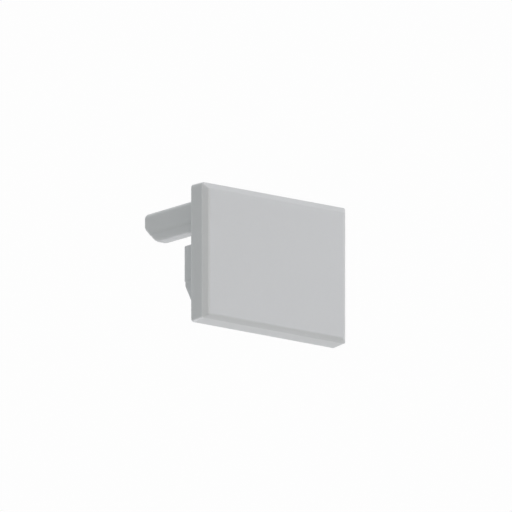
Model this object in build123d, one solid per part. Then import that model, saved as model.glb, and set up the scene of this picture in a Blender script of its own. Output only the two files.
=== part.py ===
from build123d import *
import math
import os

# End cap for the cut end of a small aluminium profile, moulded in one piece. A cover plate with bevelled front
# edges closes the profile's end. On its back two long tongues press into the profile's upper chamber and two
# short tabs into its lower one. The profile's web passes between them.
#
# Millimetres. The origin is the middle of the plate's back face, which seats on the profile's end. The front
# looks towards -Y, the tongues point towards +Y and +Z is up. The cap is symmetric left to right.

# Cover plate, as large as the profile's section. Its sides narrow a little towards the front, the lower one most
plateWidth = 16.0
plateHeight = 12.3
plateThickness = 2.0
sideDraft = 0.04  # how far the left, right and upper sides have come in where the bevel starts
lowerDraft = 0.15  # the same for the lower side
bevelDepth = 0.45  # from the sides' front edge to the front face
frontSideInset = 0.52  # the front face's outline inside the back one, at the left and the right
frontUpperInset = 0.62  # the same at the top
frontLowerInset = 0.4  # the same at the bottom
cornerRadius = 0.3  # corners of the back face's outline
ledgeCornerRadius = 0.2  # the same corners where the bevel starts
frontCornerRadius = 0.18  # the same corners where the bevel reaches the front face
frontRounding = 0.25  # soft edge between the bevel and the front face
backRounding = 0.15  # edge round the back face

# The profile that the cap closes
wallThickness = 1.0
webThickness = 1.0
upperChamberHeight = 2.9  # from the web to the profile's top wall
sideClearance = 0.05  # between a side wall and the tongue or tab beside it
heightClearance = 0.03  # above and below each tongue and tab

# Tongues and tabs alike
prongWidth = 1.1  # across the cap
innerRounding = 0.1  # edges of the inner flanks
rootDepth = 0.5  # how far they reach into the plate, to join it

# Long tongues
tongueLength = 7.9
tongueDraft = 0.2  # degrees, on the upper and the lower face
leadLength = 1.45  # lead-in slope under the tip
leadHeight = 1.5
tongueTipRadius = 0.45  # corners of the free end, seen from the side
tongueFootRadius = 1.7  # where the lead-in slope meets the lower face
tongueRounding = 0.4  # edges of the outer flank

# Short tabs
tabLength = 2.2
tabFootLength = 0.64  # length left at the lower end
tabEndHeight = 3.6  # upright part of the free end, above its slope
tabTipRadius = 0.15
tabRounding = 0.12

# Raised pads on the outer flanks, which bear on the profile's side walls
padRise = 0.08
padBlend = 0.4  # height over which a pad's lower edge curves back to the flank
tonguePadFoot = 0.8  # the pad's lower edge above the tongue's lower face
tabPadFoot = 3.2  # the pad's lower edge below the tab's upper face

# Places that follow from the profile
flank = plateWidth / 2 - wallThickness - sideClearance  # outer flanks, from the middle
chamberTop = plateHeight / 2 - wallThickness
tongueTop = chamberTop - heightClearance
tongueBottom = chamberTop - upperChamberHeight + heightClearance
tabTop = chamberTop - upperChamberHeight - webThickness - heightClearance
tabBottom = -chamberTop + heightClearance


# Outline of the plate at a depth in front of its back face, inside the back outline by the given distances
def outline(depth, sideInset, upperInset, lowerInset, radius):
    shape = RectangleRounded(plateWidth - 2 * sideInset, plateHeight - upperInset - lowerInset, radius)
    return Plane.XZ.offset(depth) * Pos(0, (lowerInset - upperInset) / 2) * shape


# Slab with a bevelled front and all its edges rounded
def coverPlate():
    back = outline(0, 0, 0, 0, cornerRadius)
    ledge = outline(plateThickness - bevelDepth, sideDraft, sideDraft, lowerDraft, ledgeCornerRadius)
    front = outline(plateThickness, frontSideInset, frontUpperInset, frontLowerInset, frontCornerRadius)
    plate = loft([back, ledge], ruled=True) + loft([ledge, front], ruled=True)
    plate = fillet(plate.faces().sort_by(Axis.Y).first.edges(), frontRounding)
    return fillet(plate.faces().sort_by(Axis.Y).last.edges(), backRounding)


# Side view of a prong, along its length and height. The lowest corner of its free end has its own radius
def sideView(corners, tipRadius, footRadius):
    side = make_face(Polyline(*corners, close=True))
    side = fillet(freeCorners(side)[1:], tipRadius)
    return fillet(freeCorners(side)[0], footRadius)


# Corners outside the plate, from the lowest up
def freeCorners(side):
    return side.vertices().filter_by(lambda corner: corner.X > 0).sort_by(Axis.Y)


# The left prong with that side view, its outer flank set in by a distance and both flanks' edges rounded
def prong(side, setIn, rounding):
    body = extrude(Plane.YZ.offset(setIn - flank) * side, prongWidth - setIn)
    body = fillet(flankEdges(body.faces().sort_by(Axis.X).first), rounding)
    return fillet(flankEdges(body.faces().sort_by(Axis.X).last), innerRounding)


# A flank's edges, but for the one at the root
def flankEdges(flankFace):
    return flankFace.edges().filter_by(lambda edge: edge.center().Y > -rootDepth / 2)


# Everything above a pad's lower edge, which curves out from the flank behind it
def padZone(foot, length):
    back = padRise - flank
    edge = Line((prongWidth - flank, foot), (back, foot))
    turn = 2 * math.atan(padRise / padBlend)
    blend = RadiusArc((back, foot), (-flank, foot + padBlend), padBlend / math.sin(turn))
    rest = Polyline(
        (-flank, foot + padBlend),
        (-flank, tongueTop + prongWidth),
        (prongWidth - flank, tongueTop + prongWidth),
        (prongWidth - flank, foot),
    )
    zone = Plane.XZ.offset(rootDepth) * make_face([edge, blend, rest])
    return extrude(zone, -length - 2 * rootDepth)


# Left prong with a raised pad along the upper part of its outer flank
def paddedProng(side, rounding, padFoot, length):
    pad = prong(side, 0, rounding) & padZone(padFoot, length)
    return prong(side, padRise, rounding) + pad


# Long tongue: drafted above and below, with a lead-in slope under its tip
def tongue():
    slant = (tongueLength + rootDepth) * math.tan(math.radians(tongueDraft))
    corners = (
        (-rootDepth, tongueTop),
        (tongueLength, tongueTop - slant),
        (tongueLength, tongueBottom + leadHeight),
        (tongueLength - leadLength, tongueBottom + slant),
        (-rootDepth, tongueBottom),
    )
    side = sideView(corners, tongueTipRadius, tongueFootRadius)
    return paddedProng(side, tongueRounding, tongueBottom + tonguePadFoot, tongueLength)


# Short tab: an upright end, then a slope back towards the plate
def tab():
    corners = (
        (-rootDepth, tabTop),
        (tabLength, tabTop),
        (tabLength, tabTop - tabEndHeight),
        (tabFootLength, tabBottom),
        (-rootDepth, tabBottom),
    )
    side = sideView(corners, tabTipRadius, tabTipRadius)
    return paddedProng(side, tabRounding, tabTop - tabPadFoot, tabLength)


cap = coverPlate()
for leftProng in (tongue(), tab()):
    cap += leftProng + mirror(leftProng, about=Plane.YZ)

os.makedirs("parts", exist_ok=True)
export_step(cap, "parts/end_cap.step")
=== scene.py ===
import math

import bpy
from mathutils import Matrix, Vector

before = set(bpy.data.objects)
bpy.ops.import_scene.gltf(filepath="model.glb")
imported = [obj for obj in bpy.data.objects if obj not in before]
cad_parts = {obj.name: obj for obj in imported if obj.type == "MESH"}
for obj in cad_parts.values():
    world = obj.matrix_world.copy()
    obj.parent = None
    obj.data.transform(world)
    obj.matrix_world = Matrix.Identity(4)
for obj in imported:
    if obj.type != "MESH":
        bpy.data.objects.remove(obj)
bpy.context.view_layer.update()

print("end cap loaded")


# A shader value that can be written in sums: each operator adds one Math node
class Wire:
    def __init__(self, finish, socket):
        self.finish = finish
        self.socket = socket

    def maths(self, operation, *values):
        return self.finish.node("ShaderNodeMath", {"operation": operation}, dict(enumerate(values)))

    def __add__(self, other):
        return self.maths("ADD", self, other)

    def __sub__(self, other):
        return self.maths("SUBTRACT", self, other)

    def __rsub__(self, other):
        return self.maths("SUBTRACT", other, self)

    def __mul__(self, other):
        return self.maths("MULTIPLY", self, other)

    __radd__ = __add__
    __rmul__ = __mul__

    def atLeast(self, other):
        return self.maths("MAXIMUM", self, other)


# The node tree of a material or of the world, with one method that adds any node
class Finish:
    def __init__(self, owner):
        owner.use_nodes = True
        self.owner = owner
        self.tree = owner.node_tree
        self.tree.nodes.clear()

    # settings go in first, because some of them change the node's sockets
    def node(self, nodeType, settings=None, sockets=None, output=0):
        made = self.tree.nodes.new(nodeType)
        for name, value in (settings or {}).items():
            setattr(made, name, value)
        for name, value in (sockets or {}).items():
            if isinstance(value, Wire):
                self.tree.links.new(value.socket, made.inputs[name])
            else:
                made.inputs[name].default_value = value
        return Wire(self, made.outputs[output]) if len(made.outputs) else made

    # a soft random pattern whose lumps are about as large as the size
    def noise(self, where, size, detail):
        return self.node("ShaderNodeTexNoise", None, {"Vector": where, "Scale": 1 / size, "Detail": detail})


# Light grey moulded plastic with a fine, even tool grain. Sizes of the patterns are in metres
plastic = {
    "pale": (0.583, 0.589, 0.596, 1.0),
    "deep": (0.549, 0.555, 0.562, 1.0),
    "cloudSize": 0.0035,  # faint flow of the pigment
    "cloudDetail": 3.0,
    "grainSize": 0.00016,  # grain of the mould
    "grainDetail": 2.0,
    "speckSize": 0.00006,
    "speckDetail": 1.0,
    "toneShares": (0.3, 0.45, 0.25),  # of the clouds, the grain and the specks
    "heightShares": (0.7, 0.3),  # of the grain and the specks
    "roughness": 0.3,
    "roughnessSpread": 0.06,
    "ior": 1.58,
    "translucency": 0.5,  # share of the light that passes a little way through the plastic
    "scatterDepth": 0.0006,
    "scatterSpread": (1.0, 1.0, 1.0),  # alike for red, green and blue
    "grainHeight": 0.000004,
    "bumpStrength": 0.25,
}


def makePlastic(look):
    finish = Finish(bpy.data.materials.new("lightGreyPlastic"))
    where = finish.node("ShaderNodeTexCoord", output="Object")
    clouds = finish.noise(where, look["cloudSize"], look["cloudDetail"])
    grain = finish.noise(where, look["grainSize"], look["grainDetail"])
    specks = finish.noise(where, look["speckSize"], look["speckDetail"])
    cloudShare, grainShare, speckShare = look["toneShares"]
    tone = clouds * cloudShare + grain * grainShare + specks * speckShare
    colour = finish.node(
        "ShaderNodeMix",
        {"data_type": "RGBA"},
        {0: tone, 6: look["deep"], 7: look["pale"]},  # the factor and the two colours
        output=2,  # the mixed colour
    )
    grainMean = 0.5
    roughness = look["roughness"] + (grain - grainMean) * look["roughnessSpread"]
    grainRise, speckRise = look["heightShares"]
    height = grain * grainRise + specks * speckRise
    normal = finish.node(
        "ShaderNodeBump",
        None,
        {"Strength": look["bumpStrength"], "Distance": look["grainHeight"], "Height": height},
    )
    shader = finish.node(
        "ShaderNodeBsdfPrincipled",
        None,
        {
            "Base Color": colour,
            "Roughness": roughness,
            "Normal": normal,
            "IOR": look["ior"],
            "Subsurface Weight": look["translucency"],
            "Subsurface Scale": look["scatterDepth"],
            "Subsurface Radius": look["scatterSpread"],
        },
    )
    finish.node("ShaderNodeOutputMaterial", None, {"Surface": shader})
    return finish.owner


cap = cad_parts["end_cap"]
cap.material_slots[0].material = makePlastic(plastic)
print("plastic made")


# Studio: an even pale room and a pale floor well below the cap
studio = {
    "backdrop": (0.985, 0.985, 0.985, 1.0),  # what shows behind the cap
    "room": (0.54, 0.57, 0.585, 1.0),  # what lights it
    "floorColour": (0.67, 0.67, 0.63, 1.0),
    "floorWhite": 0.75,  # share of plain white that the floor shows
    "floorDepth": 0.06,  # below the cap's middle
    "floorSize": 2.0,
}


# 1 for rays that show a surface directly, in a mirror or through glass, and 0 for the rest
def seenDirectly(finish):
    rays = [
        finish.node("ShaderNodeLightPath", output=name)
        for name in ("Is Camera Ray", "Is Glossy Ray", "Is Transmission Ray")
    ]
    return rays[0].atLeast(rays[1]).atLeast(rays[2])


def makeRoom(look):
    world = bpy.data.worlds.new("paleRoom")
    bpy.context.scene.world = world
    finish = Finish(world)
    room = finish.node("ShaderNodeBackground", None, {"Color": look["room"]})
    backdrop = finish.node("ShaderNodeBackground", None, {"Color": look["backdrop"]})
    shown = finish.node("ShaderNodeMixShader", None, {0: seenDirectly(finish), 1: room, 2: backdrop})
    finish.node("ShaderNodeOutputWorld", None, {"Surface": shown})


def makeFloor(look):
    finish = Finish(bpy.data.materials.new("paleFloor"))
    surface = finish.node("ShaderNodeBsdfDiffuse", None, {"Color": look["floorColour"]})
    white = finish.node("ShaderNodeEmission", None, {"Color": look["backdrop"]})
    share = seenDirectly(finish) * look["floorWhite"]
    shown = finish.node("ShaderNodeMixShader", None, {0: share, 1: surface, 2: white})
    finish.node("ShaderNodeOutputMaterial", None, {"Surface": shown})
    bpy.ops.mesh.primitive_plane_add(size=look["floorSize"], location=(0, 0, -look["floorDepth"]))
    floor = bpy.context.object
    floor.name = "paleFloor"
    floor.data.materials.append(finish.owner)


# Soft round lamps, each pointed at the cap's middle
lamps = {
    "rightLamp": {
        "towards": (0.75, -0.65, 0.1),  # where it stands, seen from the cap
        "distance": 0.25,
        "size": 0.16,  # across
        "watts": 0.096,
        "tint": (0.97, 0.97, 1.06),
    },
    "frontLamp": {
        "towards": (-0.3, -0.95, 0.0),
        "distance": 0.25,
        "size": 0.2,
        "watts": 0.13,
        "tint": (1.08, 0.99, 0.94),
    },
    "topLamp": {
        "towards": (0.0, -0.25, 0.97),
        "distance": 0.25,
        "size": 0.2,
        "watts": 0.155,
        "tint": (1.04, 0.98, 0.98),
    },
    "lowLamp": {
        "towards": (0.0, 0.5, -0.86),
        "distance": 0.055,
        "size": 0.05,
        "watts": 0.0118,
        "tint": (0.98, 0.97, 1.05),
    },
}


def makeLamp(name, look):
    lamp = bpy.data.lights.new(name, "AREA")
    lamp.shape = "DISK"
    lamp.size = look["size"]
    lamp.energy = look["watts"]
    lamp.color = look["tint"]
    holder = bpy.data.objects.new(name, lamp)
    bpy.context.collection.objects.link(holder)
    direction = Vector(look["towards"]).normalized()
    holder.location = direction * look["distance"]
    holder.rotation_mode = "QUATERNION"
    holder.rotation_quaternion = direction.to_track_quat("Z", "Y")
    holder.visible_camera = False


makeRoom(studio)
for lampName, lampLook in lamps.items():
    makeLamp(lampName, lampLook)
makeFloor(studio)
print("studio made")


# Camera, below the cap and to its left, with parallel lines kept parallel
cameraSetup = {
    "azimuth": -38.6,  # degrees from straight in front, towards the cap's left
    "elevation": -13.5,
    "aim": (-0.004386, -0.0046, -0.000566),
    "distance": 0.1,
    "frameWidth": 0.04444,
    "nearest": 0.001,  # anything nearer or farther is left out
    "farthest": 10.0,
}


def makeCamera(look):
    lens = bpy.data.cameras.new("camera")
    lens.type = "ORTHO"
    lens.ortho_scale = look["frameWidth"]
    lens.clip_start = look["nearest"]
    lens.clip_end = look["farthest"]
    camera = bpy.data.objects.new("camera", lens)
    bpy.context.collection.objects.link(camera)
    turn = math.radians(look["azimuth"])
    lift = math.radians(look["elevation"])
    back = Vector((math.sin(turn) * math.cos(lift), -math.cos(turn) * math.cos(lift), math.sin(lift)))
    camera.location = Vector(look["aim"]) + back * look["distance"]
    camera.rotation_mode = "QUATERNION"
    camera.rotation_quaternion = back.to_track_quat("Z", "Y")
    bpy.context.scene.camera = camera


makeCamera(cameraSetup)
bpy.context.scene.view_settings.view_transform = "Standard"
print("camera made")

bpy.context.view_layer.update()
